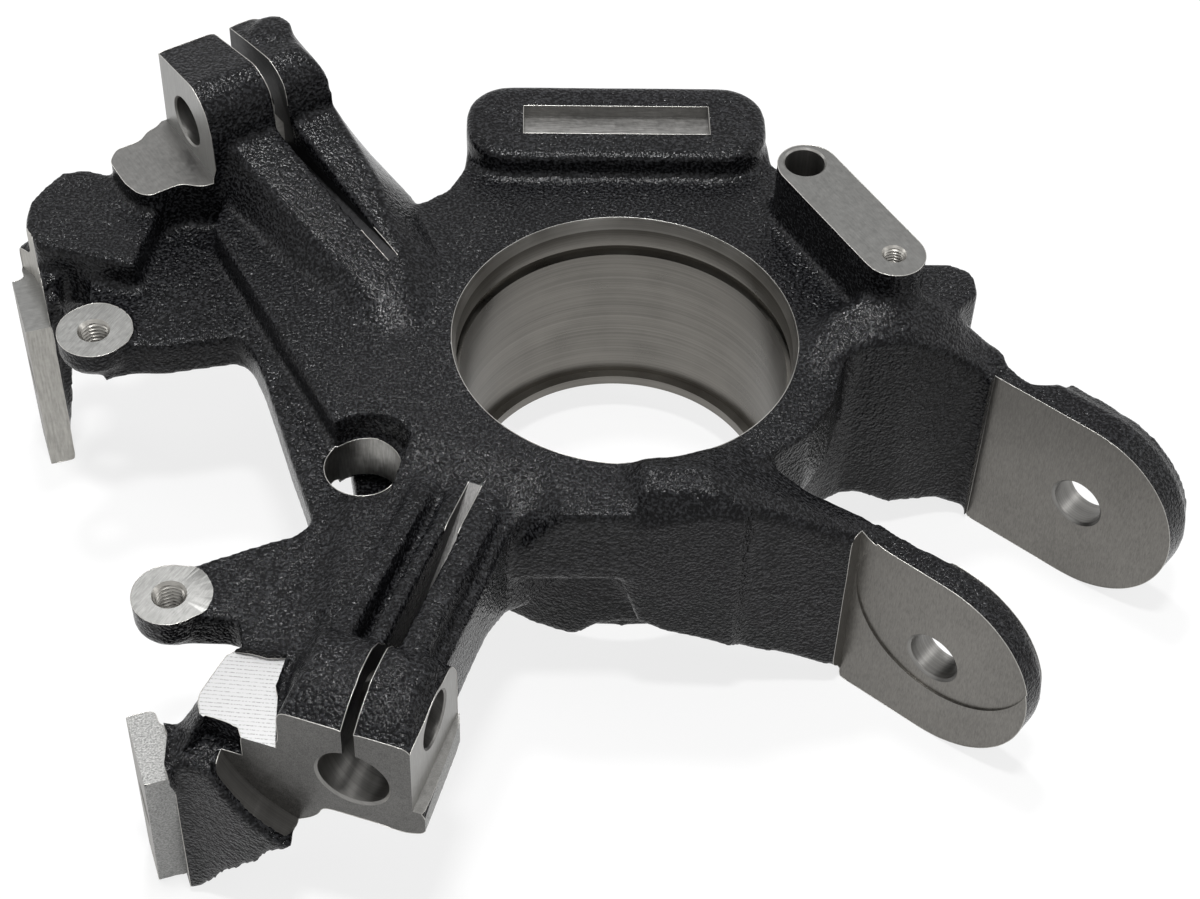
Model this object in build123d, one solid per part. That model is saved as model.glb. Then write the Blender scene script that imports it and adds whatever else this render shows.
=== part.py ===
"""Steering knuckle: one iron casting, machined on its seats, faces and holes.

Frame: origin at the middle of the wheel-bearing seat, +Z along the bore axis and out
of the hub face, +X along the long top pad, +Y from the bore to that pad. Millimetres.
"""
from build123d import *
from math import cos, radians, sin
import os

os.makedirs("parts", exist_ok=True)

# ---- wheel-bearing bore (a 49 x 88 x 46 bearing) ----
SEAT_R = 44.0
SEAT_LENGTH = 46.0
RIM_R = 46.0
HUB_TOP = 36.0
HUB_BOTTOM = -27.0
LIP_R = 41.5
LIP_Z = (-30.0, -26.0)
GROOVE_R = 46.6
GROOVE_Z = (23.6, 26.4)
LEAD_R = 44.9

# ---- flange, lower hub and web ----
FLANGE_UNDER = 10.7
LOWER_HUB_R = 53.3
WEB_TOP = 27.0
WEB_UNDER = 15.5
WEB_HOLE = (-68.0, -39.2)
WEB_HOLE_R = 9.9
POCKET_AT = (-66.5, -41.3)
POCKET_R = 12.4

# ---- long top pad ----
PAD_TOP = 43.5
PAD_CENTRE = (-0.5, 78.3)
PAD_SIZE = (85.2, 31.6)
RECESS_AT = (-0.5, 78.5)
RECESS_SIZE = (52.8, 12.0)
RECESS_DEPTH = 4.0

# ---- two-hole sensor boss ----
SENSOR_TOP = 53.5
SENSOR_AZ = -60.1
SENSOR_ORIGIN = (39.2, 51.4)
SENSOR_HALF = 8.6
SENSOR_HOLE_AT = 6.9
SENSOR_SCREW_AT = 48.9
SENSOR_HOLE_R = 5.5
M6_R = 2.5

# ---- M8 bosses on the web ----
# plan x and y, face height, underside height, radius
M8_BOSSES = ((-141.9, 8.5, 28.0, 18.8, 10.0), (-113.3, -81.7, 27.5, 16.6, 9.5))
M8_R = 3.4

# ---- fork for the arm bush ----
FORK_Z = -9.0
FORK_AXIS_AZ = -130.5
FORK_FAR = (125.2, -19.6)
FORK_SPAN = 71.0
FORK_EAR_FAR = 11.0
FORK_EAR_NEAR = 9.6
FORK_EAR_R = 29.0
FORK_RIM = 2.0
FORK_HOLE_R = 7.1

# ---- ball-stud clamps ----
LOW = (-83.8, -126.5)
LOW_AZ = 70.5
LOW_W = 33.0
UP = (-127.7, 78.9)
UP_AZ = -58.1
UP_W = 37.5
STUD_R = 9.0
PINCH_R = 7.1

# ---- left ears ----
EAR_AZ = 197.6
EAR_FACE = 149.6
EAR_PLATE = 7.0
EAR_FACET = 16.0
EAR_BOTTOM = -38.0
EAR_INNER = 68.0
EAR_OUTER = 89.0
EAR_HOLE_R = 5.25
EAR_HOLE_T = 76.5
EAR_HOLE_Z = -9.0


def flat(points, corner=0.0):
    """Flat outline, all its corners rounded alike."""
    face = Polygon(*points, align=None)
    return fillet(face.vertices(), corner) if corner else face


def prism(points, z0, z1, corner=0.0):
    """Upright block on a plan outline."""
    return extrude(Pos(0, 0, z0) * flat(points, corner), amount=z1 - z0, dir=(0, 0, 1))


def unit(azimuth):
    return (cos(radians(azimuth)), sin(radians(azimuth)))


def local(origin, azimuth, along, left):
    """Plan point from a run along an azimuth and an offset to its left."""
    a = unit(azimuth)
    b = unit(azimuth + 90)
    return (
        origin[0] + along * a[0] + left * b[0],
        origin[1] + along * a[1] + left * b[1],
    )


def upright(origin, azimuth):
    """Upright plane whose x runs along the azimuth and whose y is up."""
    ux, uy = unit(azimuth)
    return Plane(origin=(origin[0], origin[1], 0), x_dir=(ux, uy, 0), z_dir=(uy, -ux, 0))


def wall(origin, azimuth, profile, side0, side1, corner=0.0):
    """Block with a side profile, from side0 to side1 to the left of its run."""
    start = local(origin, azimuth, 0, side1)
    ux, uy = unit(azimuth)
    return extrude(
        upright(start, azimuth) * flat(profile, corner),
        amount=side1 - side0,
        dir=(uy, -ux, 0),
    )


def cross_hole(origin, azimuth, z, radius, length, back=0.0):
    """Level hole from a plan point along an azimuth."""
    ax, ay = unit(azimuth)
    plane = Plane(
        origin=(origin[0] - back * ax, origin[1] - back * ay, z), z_dir=(ax, ay, 0)
    )
    return extrude(plane * Circle(radius), amount=length + back)


def mouth(origin, azimuth, z, radius, size):
    """Chamfer where a level hole meets a face that looks along the azimuth."""
    ax, ay = unit(azimuth)
    plane = Plane(origin=(origin[0], origin[1], z), z_dir=(ax, ay, 0))
    return plane * Cone(radius, radius + 2 * size, 2 * size)


def down_hole(at, z_top, z_low, radius):
    return extrude(Pos(at[0], at[1], z_low) * Circle(radius), amount=z_top - z_low)


def above(corners, outline):
    """Everything on a plan outline that stands above the plane through three points."""
    a, b, c = (Vector(*p) for p in corners)
    normal = (b - a).cross(c - a).normalized()
    if normal.Z < 0:
        normal = -normal
    tilted = Plane(origin=a, x_dir=b - a, z_dir=normal)
    return split(prism(outline, 20.0, 60.0), bisect_by=tilted, keep=Keep.TOP)


def ear_at(n, t):
    """Plan point from the distance n along EAR_AZ and the offset t across it."""
    return local((0, 0), EAR_AZ, n, t)


def low(s, u):
    """Plan point of the lower clamp: s inward from its end face, u to its right."""
    return local(LOW, LOW_AZ, s, -u)


def up(s, v):
    """Plan point of the upper clamp: s inward from its end face, v to its left."""
    return local(UP, UP_AZ, s, v)


def across_x(sections):
    """Arm ruled through upright sections, each an x and its (y, z) corners."""
    faces = [
        Plane(origin=(x, 0, 0), x_dir=(0, 1, 0), z_dir=(1, 0, 0)) * flat(corners)
        for x, corners in sections
    ]
    return loft(faces, ruled=True)


# ---------------------------------------------------------------- hub and pad
flange = prism(
    [
        (-18.0, -63.6), (0.5, -63.6), (5.0, -55.0), (34.0, -44.0), (46.5, -35.0),
        (54.0, -23.0), (60.0, -2.0), (84.0, 5.0), (96.6, 17.0), (95.8, 25.0),
        (90.0, 28.6), (82.0, 28.0), (72.0, 33.0), (52.0, 62.0), (44.0, 68.0),
        (42.0, 84.0), (-41.6, 84.0), (-43.8, 66.4), (-48.2, 57.2), (-57.4, 50.2),
        (-84.0, 60.0), (-110.0, 52.0), (-112.4, 41.0), (-75.4, -31.6), (-76.0, -44.0),
        (-51.4, -47.6), (-38.3, -39.8), (-18.6, -51.4),
    ],
    12.0, HUB_TOP, 1.5,
)
front_flange = across_x([
    (-40.0, [(-66.0, 8.0), (-66.0, 12.0), (-58.0, 22.0), (-40.0, 30.0), (-40.0, 8.0)]),
    (-30.0, [(-63.6, 10.7), (-63.6, 20.0), (-57.0, 28.0), (-40.0, 33.0), (-40.0, 10.7)]),
    (-21.0, [(-63.6, 10.7), (-63.6, 32.0), (-57.0, 34.5), (-40.0, 35.5), (-40.0, 10.7)]),
    (-18.0, [(-63.6, 10.7), (-63.6, 35.4), (-57.0, 36.0), (-40.0, 36.0), (-40.0, 10.7)]),
    (1.0, [(-63.6, 10.7), (-63.6, 35.4), (-57.0, 36.0), (-40.0, 36.0), (-40.0, 10.7)]),
])
hub_face = flange + front_flange
# the face falls away in two flats, one towards the lower arm and one round the web hole
for corners, outline in (
    (((-41.9, -31.1, 36.0), (-19.5, -50.8, 36.0), (-40.3, -55.7, 33.0)),
     [(-41.9, -31.1), (-15.0, -54.8), (-28.0, -75.0), (-70.0, -75.0), (-54.8, -45.6)]),
    (((-41.9, -31.1, 36.0), (-54.8, -45.6, 33.0), (-76.0, -36.0, 36.0)),
     [(-41.9, -31.1), (-54.8, -45.6), (-60.0, -60.0), (-90.0, -60.0), (-90.0, -38.0)]),
):
    hub_face -= above(corners, outline)
hub_face -= down_hole(POCKET_AT, 60.0, WEB_TOP, POCKET_R)
lower_hub = extrude(Pos(0, 0, HUB_BOTTOM) * Circle(LOWER_HUB_R), amount=60.0)
hub_skirt = prism(
    [(-73.0, -22.0), (-71.0, -33.0), (-66.0, -50.0), (-40.0, -50.0), (-40.0, -20.0)], 0.0, 9.0
)
pad = extrude(
    Pos(PAD_CENTRE[0], PAD_CENTRE[1], 12.0)
    * RectangleRounded(PAD_SIZE[0], PAD_SIZE[1], 13.0),
    amount=PAD_TOP - 12.0,
)
pad = fillet(pad.edges().group_by(Axis.Z)[-1], 2.0)

# ---------------------------------------------------------------- sensor boss
boss_plane = Plane(
    origin=(SENSOR_ORIGIN[0], SENSOR_ORIGIN[1], 0), x_dir=(*unit(SENSOR_AZ), 0)
)
boss_near = SENSOR_HOLE_AT + 1.6
sensor_boss = extrude(
    boss_plane
    * Pos(0.5 * (boss_near + SENSOR_SCREW_AT), SENSOR_HALF, 12.0)
    * SlotCenterToCenter(SENSOR_SCREW_AT - boss_near, 2 * SENSOR_HALF),
    amount=SENSOR_TOP - 12.0,
)

# ---------------------------------------------------------------- web
web = prism(
    [
        (-139.4, 0.7), (-135.9, 2.6), (-130.5, 3.7), (-123.8, 3.4), (-105.1, 7.3),
        (-102.0, 6.2), (-99.3, 2.1), (-95.7, -6.8),
        (-86.2, -37.7), (-80.6, -55.2), (-80.9, -58.9), (-83.5, -61.5), (-91.5, -64.5),
        (-108.4, -71.6), (-113.0, -88.2), (-103.3, -88.6), (-96.0, -89.2), (-94.6, -97.8),
        (-88.0, -101.0), (-56.0, -101.0), (-30.0, -40.0), (-55.0, 60.0), (-110.0, 64.0), (-147.0, 60.0),
        (-144.8, 18.0),
    ],
    WEB_UNDER, WEB_TOP,
)
knuckle = hub_face + lower_hub + hub_skirt + pad + sensor_boss + web
for x, y, face, under, radius in M8_BOSSES:
    knuckle += down_hole((x, y), face, under + 2.5, radius)
    knuckle += down_hole((x, y), under + 2.5, under, radius - 1.5)

# ---------------------------------------------------------------- fork
FORK_RUN = FORK_AXIS_AZ + 90
near_face = local(FORK_FAR, FORK_AXIS_AZ, FORK_SPAN, 0)


def fork_ear(start, reach, thick):
    """Round ear reaching back along its arm, its rim drawn in towards the back."""
    plane = upright(start, FORK_RUN)

    def outline(radius, depth):
        shape = Pos(0, FORK_Z) * Circle(radius) + Pos(-0.5 * reach, FORK_Z) * Rectangle(
            reach, 2 * radius
        )
        return plane.offset(-depth) * shape

    straight = extrude(outline(FORK_EAR_R, 0.0), amount=-(thick - FORK_RIM))
    drawn = loft(
        [outline(FORK_EAR_R, thick - FORK_RIM), outline(FORK_EAR_R - FORK_RIM, thick)],
        ruled=True,
    )
    return straight + drawn


def fork_at(start, along, out):
    """Plan point: along the ear's run, and out from its face towards its far side."""
    return local(start, FORK_RUN, along, out)


far_ear = fork_ear(FORK_FAR, 40.0, FORK_EAR_FAR) & prism(
    [
        fork_at(FORK_FAR, -31.6, 0), fork_at(FORK_FAR, 31, 0), fork_at(FORK_FAR, 31, 11),
        fork_at(FORK_FAR, -15.5, 11), (118.2, -0.5),
        (115.9, -1.6), (113.4, -2.0), (109.7, -0.5), (105.7, 4.7), (104.8, 7.4),
        (102.3, 10.6), (97.0, 12.0),
    ],
    -60.0, 60.0,
)
far_bump = prism(
    [(99.0, 4.5), (104.0, 4.6), (104.6, 7.0), (102.3, 10.5), (98.0, 12.5)], -20.0, 22.5
)
near_ear = fork_ear(near_face, 26.0, FORK_EAR_NEAR) & prism(
    [
        fork_at(near_face, -26, 0), fork_at(near_face, 31, 0), fork_at(near_face, 31, 9.6),
        fork_at(near_face, -4, 9.6), fork_at(near_face, -9, 8.7),
        fork_at(near_face, -13, 7.4), fork_at(near_face, -26, 7.3),
    ],
    -60.0, 60.0,
)
near_arm = across_x([
    (-2.5, [(-62.5, 11.0), (-62.5, 29.0), (-58.0, 35.0), (-52.0, 35.6), (-44.0, 35.6), (-44.0, -12.0)]),
    (3.0, [(-64.0, -5.5), (-64.0, 32.0), (-59.0, 40.0), (-52.5, 42.0), (-46.0, 40.0), (-44.0, -12.0)]),
    (10.0, [(-64.0, -9.7), (-64.0, 34.0), (-59.0, 41.0), (-53.5, 42.6), (-46.0, 39.4), (-44.0, -14.5)]),
    (20.0, [(-64.0, -13.1), (-64.0, 36.0), (-60.0, 41.2), (-54.5, 42.6), (-42.0, 38.6), (-41.0, -15.3)]),
    (28.0, [(-64.0, -16.6), (-64.0, 35.0), (-61.5, 38.6), (-56.0, 39.6), (-40.0, 37.0), (-38.0, -20.0)]),
    (31.0, [(-61.5, -19.5), (-61.5, 34.0), (-60.5, 36.4), (-55.0, 37.6), (-40.0, 35.5), (-38.0, -20.5)]),
    (46.0, [(-60.6, -25.2), (-60.6, 26.8), (-59.6, 29.0), (-55.0, 29.6), (-46.8, 27.0), (-46.0, -25.2)]),
    (54.0, [(-60.1, -29.0), (-60.1, 23.0), (-59.1, 25.0), (-55.6, 25.8), (-48.4, 23.6), (-48.0, -29.0)]),
    (61.0, [(-59.6, -32.6), (-59.6, 19.6), (-58.6, 21.4), (-56.0, 22.2), (-51.0, 21.8), (-51.0, -32.6)]),
    (66.0, [(-64.0, -35.0), (-64.0, 18.0), (-63.0, 19.5), (-60.0, 20.0), (-54.0, 20.0), (-54.0, -35.0)]),
])
far_arm = across_x([
    (42.0, [(-20.0, -20.0), (-20.0, 33.0), (-8.0, 34.0), (8.0, 33.0), (14.0, -20.0)]),
    (49.0, [(-18.5, -20.0), (-18.5, 35.0), (-4.0, 38.0), (8.0, 35.0), (14.0, -20.0)]),
    (55.0, [(-11.3, -20.0), (-11.3, 38.0), (4.0, 41.0), (11.0, 35.0), (15.0, -20.0)]),
    (62.0, [(-6.7, -20.4), (-6.7, 39.0), (6.8, 43.4), (12.0, 36.0), (16.0, -20.4)]),
    (68.0, [(-5.6, -21.4), (-5.6, 39.3), (7.1, 45.6), (14.0, 37.0), (17.0, -21.4)]),
    (73.0, [(-4.7, -25.0), (-4.7, 38.4), (7.2, 46.4), (15.0, 36.0), (17.5, -25.0)]),
    (77.0, [(-4.0, -27.2), (-4.0, 37.4), (8.0, 45.4), (16.0, 34.0), (18.0, -27.2)]),
    (85.0, [(-1.5, -29.0), (-1.5, 32.0), (9.2, 40.0), (16.0, 28.0), (18.0, -29.0)]),
    (90.0, [(-0.2, -29.6), (-0.2, 28.0), (10.3, 34.6), (16.0, 22.0), (17.5, -29.6)]),
    (95.0, [(0.6, -32.3), (0.6, 23.6), (11.4, 28.6), (15.0, 17.0), (16.0, -32.3)]),
    (101.2, [(0.9, -34.5), (0.9, 19.6), (10.6, 22.4), (12.0, 14.0), (12.5, -34.5)]),
])
knuckle += far_ear + far_bump + near_ear + near_arm + far_arm

# ---------------------------------------------------------------- lower clamp
low_front = upright(low(0, LOW_W), LOW_AZ + 90)
low_block = wall(
    LOW, LOW_AZ,
    [
        (0.0, 7.0), (0.0, 40.2), (3.0, 42.4), (8.0, 44.6), (14.0, 45.6), (20.0, 45.2),
        (24.6, 43.6), (27.5, 38.0), (30.0, 33.0), (30.0, 7.0),
    ],
    -LOW_W, 0.0,
)
low_block &= wall(
    LOW, LOW_AZ - 90,
    [
        (0.0, 7.0), (0.0, 38.0), (1.2, 41.5), (4.5, 50.0), (28.0, 50.0), (31.5, 42.5),
        (33.0, 38.5), (33.0, 13.0), (31.2, 8.8), (27.0, 7.0),
    ],
    0.0, 60.0,
)
low_step = wall(
    LOW, LOW_AZ - 90,
    [
        (26.0, 6.5), (26.0, 16.3), (34.7, 16.3), (36.1, 15.2), (36.9, 12.5), (36.6, 10.0),
        (35.0, 8.0), (31.0, 6.5),
    ],
    0.0, 29.5,
) & prism(
    [low(-1, 20), low(-1, 36.6), low(18, 35.4), low(27.5, 34.7), low(30, 33.4), low(30, 20)],
    0.0, 20.0,
)
low_arm = wall(
    LOW, LOW_AZ,
    [
        (26.0, 7.0), (26.0, 31.0), (60.0, 29.5), (80.0, 31.0), (95.0, 36.0), (104.0, 36.0),
        (104.0, 0.0), (84.0, -6.0), (70.0, 2.0), (60.0, 7.0),
    ],
    -40.0, 4.0,
) & prism(
    [
        low(24, -4), low(24, 29.3), low(76, 29.3), low(86.5, 34.0), low(92.3, 37.5),
        low(104, 36), low(104, -4),
    ],
    -20.0, 60.0,
)
knuckle += low_block + low_step + low_arm
low_ribs = ((1.8, 7.7), (11.1, 19.0), (18.4, 26.0))
for left, right in low_ribs:
    knuckle += wall(
        LOW, LOW_AZ, [(24.0, 20.0), (24.0, 39.5), (50.0, 37.0), (82.0, 33.5), (88.0, 20.0)],
        -right, -left,
    )
low_ramp = prism(
    [(-70.2, -51.5), (-72.2, -71.5), (-75.0, -90.0), low(28.0, 0.0), low(28.0, 12.0), low(80, 12)],
    12.0, 30.5,
)
low_ledge = prism(
    [
        low(0.0, 1.0), (-92.8, -123.2), (-94.7, -119.4), (-102.2, -116.3), (-103.9, -113.1),
        (-103.3, -109.8), (-97.2, -98.0), (-92.0, -98.9), (-88.0, -100.2), (-83.4, -100.2),
        low(25.0, 1.0),
    ],
    0.0, 26.0,
)
# the block spreads over the ledge at its left foot
foot_low = [(2, 1.5), (2, -1.0), (8, -3.2), (13, -5.9), (17, -7.6), (24.8, -8.5), (30, -6), (30, 1.5)]
foot_high = [(4, 1.5), (4, 0.3), (9, 0.0), (13, -0.4), (17, -0.7), (24, -0.8), (27, -0.5), (27, 1.5)]
low_foot = loft(
    [
        Pos(0, 0, 20.0) * flat([low(s, u) for s, u in foot_low]),
        Pos(0, 0, 39.0) * flat([low(s, u) for s, u in foot_high]),
    ],
    ruled=True,
)
knuckle += low_ramp + low_ledge + low_foot
knuckle += down_hole(low(16.7, 19.7), 46.6, 36.0, 6.5)

# ---------------------------------------------------------------- upper clamp
up_block = wall(
    UP, UP_AZ,
    [
        (0.0, 24.0), (0.0, 65.8), (20.7, 68.4), (25.0, 66.6), (28.2, 63.4), (30.4, 56.8),
        (31.0, 50.0), (31.0, 24.0),
    ],
    0.0, UP_W,
)
up_block &= prism(
    [
        up(0.0, -1.0), up(0.0, 30.0), up(1.0, 34.6), up(3.6, 37.4), up(8.7, 38.5),
        up(32.0, 37.6), up(32.0, -1.0),
    ],
    0.0, 90.0,
)
up_block &= wall(
    UP, UP_AZ + 90,
    [
        (-1.0, 20.0), (-1.0, 80.0), (29.0, 80.0), (33.0, 68.6), (36.0, 65.2), (37.8, 60.5),
        (38.6, 52.0), (38.6, 20.0),
    ],
    -33.0, 1.0,
)
top_plane = Plane(
    origin=(*up(28.0, 0.0), 53.0),
    x_dir=(*unit(UP_AZ), -13.0 / 62.0),
    z_dir=(13.0 / 62.0 * unit(UP_AZ)[0], 13.0 / 62.0 * unit(UP_AZ)[1], 1.0),
)
mound_low = [
    (26.0, -1.0), (60.0, 2.0), (90.0, 6.7), (103.0, 9.3), (111.5, 17.4), (109.0, 23.0),
    (89.0, 43.2), (56.0, 47.2), (26.0, 45.6),
]
mound_high = [
    (0.0, 5.0), (32.0, 9.5), (54.0, 14.0), (62.0, 17.5), (66.5, 22.0), (61.0, 27.0),
    (47.0, 31.0), (30.0, 35.8), (0.0, 37.6),
]
up_mound = loft(
    [
        Pos(0, 0, 34.0) * flat([up(s, v) for s, v in mound_low]),
        top_plane * flat(mound_high),
    ],
    ruled=True,
)
up_ledge = prism(
    [
        up(1.0, 0.5), up(2.0, -7.2), up(4.6, -10.3), up(4.5, -17.9), up(8.2, -21.5),
        up(18.7, -21.9), up(24.1, -20.7), up(26.6, -18.3), up(26.5, -8.9), up(30.6, -4.5),
        up(31.0, 0.5),
    ],
    16.0, 42.0,
)
knuckle += up_block + up_mound + up_ledge
knuckle += down_hole(up(8.7, 30.8), 68.4, 60.0, 5.6)

# ---------------------------------------------------------------- left ears
for side in (1, -1):
    knuckle += wall(
        ear_at(EAR_FACE, 0), EAR_AZ + 90,
        [
            (side * EAR_INNER, EAR_FACET), (side * EAR_OUTER, EAR_FACET),
            (side * (EAR_OUTER - 8.5), EAR_BOTTOM), (side * EAR_INNER, EAR_BOTTOM),
        ],
        0.0, EAR_PLATE,
    )
near_gusset = wall(
    (0, 0), 0,
    [
        (-122.0, 16.0), (-111.0, 16.0), (-108.0, 19.0), (-103.0, 26.0), (-73.5, 26.0),
        (-73.5, 6.5), (-77.0, 1.5), (-81.5, -2.0), (-84.6, -4.5), (-88.5, -8.0),
        (-91.0, -13.5), (-97.3, -20.5), (-101.0, -25.0), (-104.0, -31.0), (-107.0, -35.5),
        (-111.0, -36.5), (-115.0, EAR_BOTTOM), (-122.0, EAR_BOTTOM),
    ],
    -145.0, -90.0,
) & prism(
    [
        ear_at(143.5, 73.0), ear_at(143.5, 86.0), (-106.5, -125.5), (-97.0, -130.0),
        (-85.0, -135.0), (-77.6, -137.0), (-74.5, -128.5), (-84.0, -110.0), (-98.0, -98.5),
        (-103.3, -109.8), (-109.5, -113.0),
    ],
    EAR_BOTTOM, 26.0,
)
far_lobe = prism(
    [
        (-159.6, 33.6), (-163.2, 40.0), (-163.9, 45.2), (-163.2, 51.3), (-160.0, 57.5),
        (-156.3, 63.0), (-151.0, 64.4), (-147.5, 64.0), (-143.1, 62.3), (-125.0, 60.0),
        (-132.0, 25.2),
    ],
    WEB_UNDER, HUB_TOP,
)
far_gusset = prism(
    [
        ear_at(143.0, -72.0), ear_at(143.0, -89.0), ear_at(134.0, -95.0),
        ear_at(118.0, -92.0), ear_at(130.0, -80.0),
    ],
    0.0, WEB_TOP,
)
# wall that the facing cutter leaves beside the far ear, and the nose at its end
far_wall = prism(
    [
        ear_at(142.5, -69.0), ear_at(142.4, -84.0), ear_at(144.0, -90.0),
        ear_at(146.6, -91.6), ear_at(145.8, -94.5), ear_at(142.8, -96.5),
        ear_at(138.0, -93.0), ear_at(137.6, -76.0), ear_at(139.0, -70.0),
    ],
    8.0, 24.0,
)
far_rib = wall(
    (0, 0), EAR_AZ,
    [(143.0, 16.0), (137.5, 16.0), (137.8, 2.0), (139.6, -14.0), (143.0, -32.0)],
    -86.0, -70.0,
)
near_foot = prism(
    [ear_at(143.5, 68.5), ear_at(143.5, 84.0), (-100.0, -122.0), (-98.0, -106.0)], -28.0, 6.0
)
knuckle += near_foot + near_gusset + far_lobe + far_gusset + far_wall + far_rib

# ---------------------------------------------------------------- machining
knuckle -= revolve(
    Plane.XZ
    * Polygon(
        (0, -60), (LIP_R + 4.0, -60), (LIP_R + 4.0, LIP_Z[0]),
        (LIP_R, LIP_Z[1]), (LIP_R, -0.5 * SEAT_LENGTH), (SEAT_R, -0.5 * SEAT_LENGTH),
        (SEAT_R, GROOVE_Z[0]), (GROOVE_R, GROOVE_Z[0]), (GROOVE_R, GROOVE_Z[1]),
        (LEAD_R, GROOVE_Z[1]), (LEAD_R, HUB_TOP - 3.6), (RIM_R, HUB_TOP),
        (RIM_R + 1.5, HUB_TOP + 4.0), (RIM_R + 3.0, 80), (0, 80),
        align=None,
    ),
    Axis.Z,
)
knuckle -= extrude(
    Pos(RECESS_AT[0], RECESS_AT[1], PAD_TOP - RECESS_DEPTH)
    * RectangleRounded(*RECESS_SIZE, 1.0),
    amount=20.0,
)
hole_at = local(SENSOR_ORIGIN, SENSOR_AZ, SENSOR_HOLE_AT, SENSOR_HALF)
screw_at = local(SENSOR_ORIGIN, SENSOR_AZ, SENSOR_SCREW_AT, SENSOR_HALF)
knuckle -= down_hole(hole_at, 60.0, 0.0, SENSOR_HOLE_R)
knuckle -= down_hole(screw_at, 60.0, SENSOR_TOP - 20.0, M6_R)
for x, y, face, under, radius in M8_BOSSES:
    knuckle -= down_hole((x, y), 30.0, 10.0, M8_R)
knuckle -= cross_hole(FORK_FAR, FORK_AXIS_AZ, FORK_Z, FORK_HOLE_R, 90.0, 20.0)
# the near ear's face is cut a little deeper in its upper part
zone = fork_at(near_face, 1.5, 0)
knuckle -= cross_hole(zone, FORK_AXIS_AZ, FORK_Z + 15.0, 27.0, 6.0, 0.6)
knuckle -= mouth(FORK_FAR, FORK_AXIS_AZ, FORK_Z, FORK_HOLE_R, 0.7)
near_mouth = local(FORK_FAR, FORK_AXIS_AZ, FORK_SPAN - 0.6, 0)
knuckle -= mouth(near_mouth, FORK_AXIS_AZ, FORK_Z, FORK_HOLE_R, 0.7)
# spot face behind the far ear
knuckle -= cross_hole(FORK_FAR, FORK_AXIS_AZ + 180, FORK_Z, 14.0, 20.0, -9.0)
knuckle -= down_hole(WEB_HOLE, 40.0, 11.0, WEB_HOLE_R)
knuckle -= cross_hole((1.0, -75.0), 90, -34.5, 15.0, 40.0)
# round cut that the facing cutter leaves beside the lower clamp's end face
knuckle -= cross_hole(low(-40.0, 17.0), LOW_AZ, 29.8, 34.1, 40.0)
# cast hollow at the front of the ledge
knuckle -= prism(
    [
        low(-20.0, -10.0), low(0.3, -9.8), low(2.4, -11.4), low(2.8, -14.9), low(3.1, -20.1),
        low(-3.0, -23.0), low(-20.0, -26.0),
    ],
    18.8, 30.0,
)
# stud bores, saw slots and pinch bolts
knuckle -= cross_hole(low(0, 18.2), LOW_AZ, 22.3, STUD_R, 27.0, 5.0)
knuckle -= wall(
    LOW, LOW_AZ,
    [
        (-5.0, 22.3), (36.0, 22.3), (52.0, 23.5), (66.0, 26.5), (79.0, 30.0), (91.0, 35.0),
        (91.0, 60.0), (-5.0, 60.0),
    ],
    -40.0, 0.0,
) & prism([low(-6, 16.2), low(-6, 19.4), low(90, 18.6), low(90, 15.0)], 0.0, 70.0)
knuckle -= cross_hole(low(15.7, 33.0), LOW_AZ + 90, 32.3, PINCH_R, 28.5, 5.0)
knuckle -= cross_hole(up(0, 19.0), UP_AZ, 41.5, STUD_R, 26.0, 5.0)
knuckle -= prism([up(-5, 16.4), up(-5, 21.5), up(84, 28.2), up(84, 25.0)], 41.5, 80.0)
knuckle -= cross_hole(up(14.6, 0.0), UP_AZ + 90, 51.7, PINCH_R, 33.0, 5.0)
# bracket holes in the left ears
for side, depth in ((1, 20.0), (-1, 30.0)):
    knuckle -= cross_hole(
        ear_at(EAR_FACE, side * EAR_HOLE_T), EAR_AZ + 180, EAR_HOLE_Z, EAR_HOLE_R, depth, 5.0
    )

solids = knuckle.solids()
print("solids", len(solids), [round(s.volume) for s in solids])
export_step(knuckle, "parts/knuckle.step")
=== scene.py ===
from math import cos, pi, radians, sin

import bmesh
import bpy
import numpy as np
from mathutils import Matrix, Vector, noise


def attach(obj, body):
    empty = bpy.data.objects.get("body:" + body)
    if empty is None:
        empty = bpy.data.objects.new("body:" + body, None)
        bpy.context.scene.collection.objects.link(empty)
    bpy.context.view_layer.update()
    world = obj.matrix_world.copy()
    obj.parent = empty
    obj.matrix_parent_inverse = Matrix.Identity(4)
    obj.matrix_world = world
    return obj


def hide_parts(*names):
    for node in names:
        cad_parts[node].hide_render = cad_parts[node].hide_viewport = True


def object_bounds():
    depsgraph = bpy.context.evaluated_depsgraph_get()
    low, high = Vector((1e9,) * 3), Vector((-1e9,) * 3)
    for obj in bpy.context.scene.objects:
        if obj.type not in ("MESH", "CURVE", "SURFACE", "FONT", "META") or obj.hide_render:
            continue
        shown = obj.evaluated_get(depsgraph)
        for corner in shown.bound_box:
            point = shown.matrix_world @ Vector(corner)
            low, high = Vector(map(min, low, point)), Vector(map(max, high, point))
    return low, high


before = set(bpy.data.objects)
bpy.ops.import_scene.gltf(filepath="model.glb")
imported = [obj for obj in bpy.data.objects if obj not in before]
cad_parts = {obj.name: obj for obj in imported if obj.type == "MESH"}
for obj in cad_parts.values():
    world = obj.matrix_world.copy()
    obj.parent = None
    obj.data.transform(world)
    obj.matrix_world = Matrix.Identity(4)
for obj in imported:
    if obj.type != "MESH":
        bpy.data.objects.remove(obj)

PACKED_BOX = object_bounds()
MM = 0.001

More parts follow.
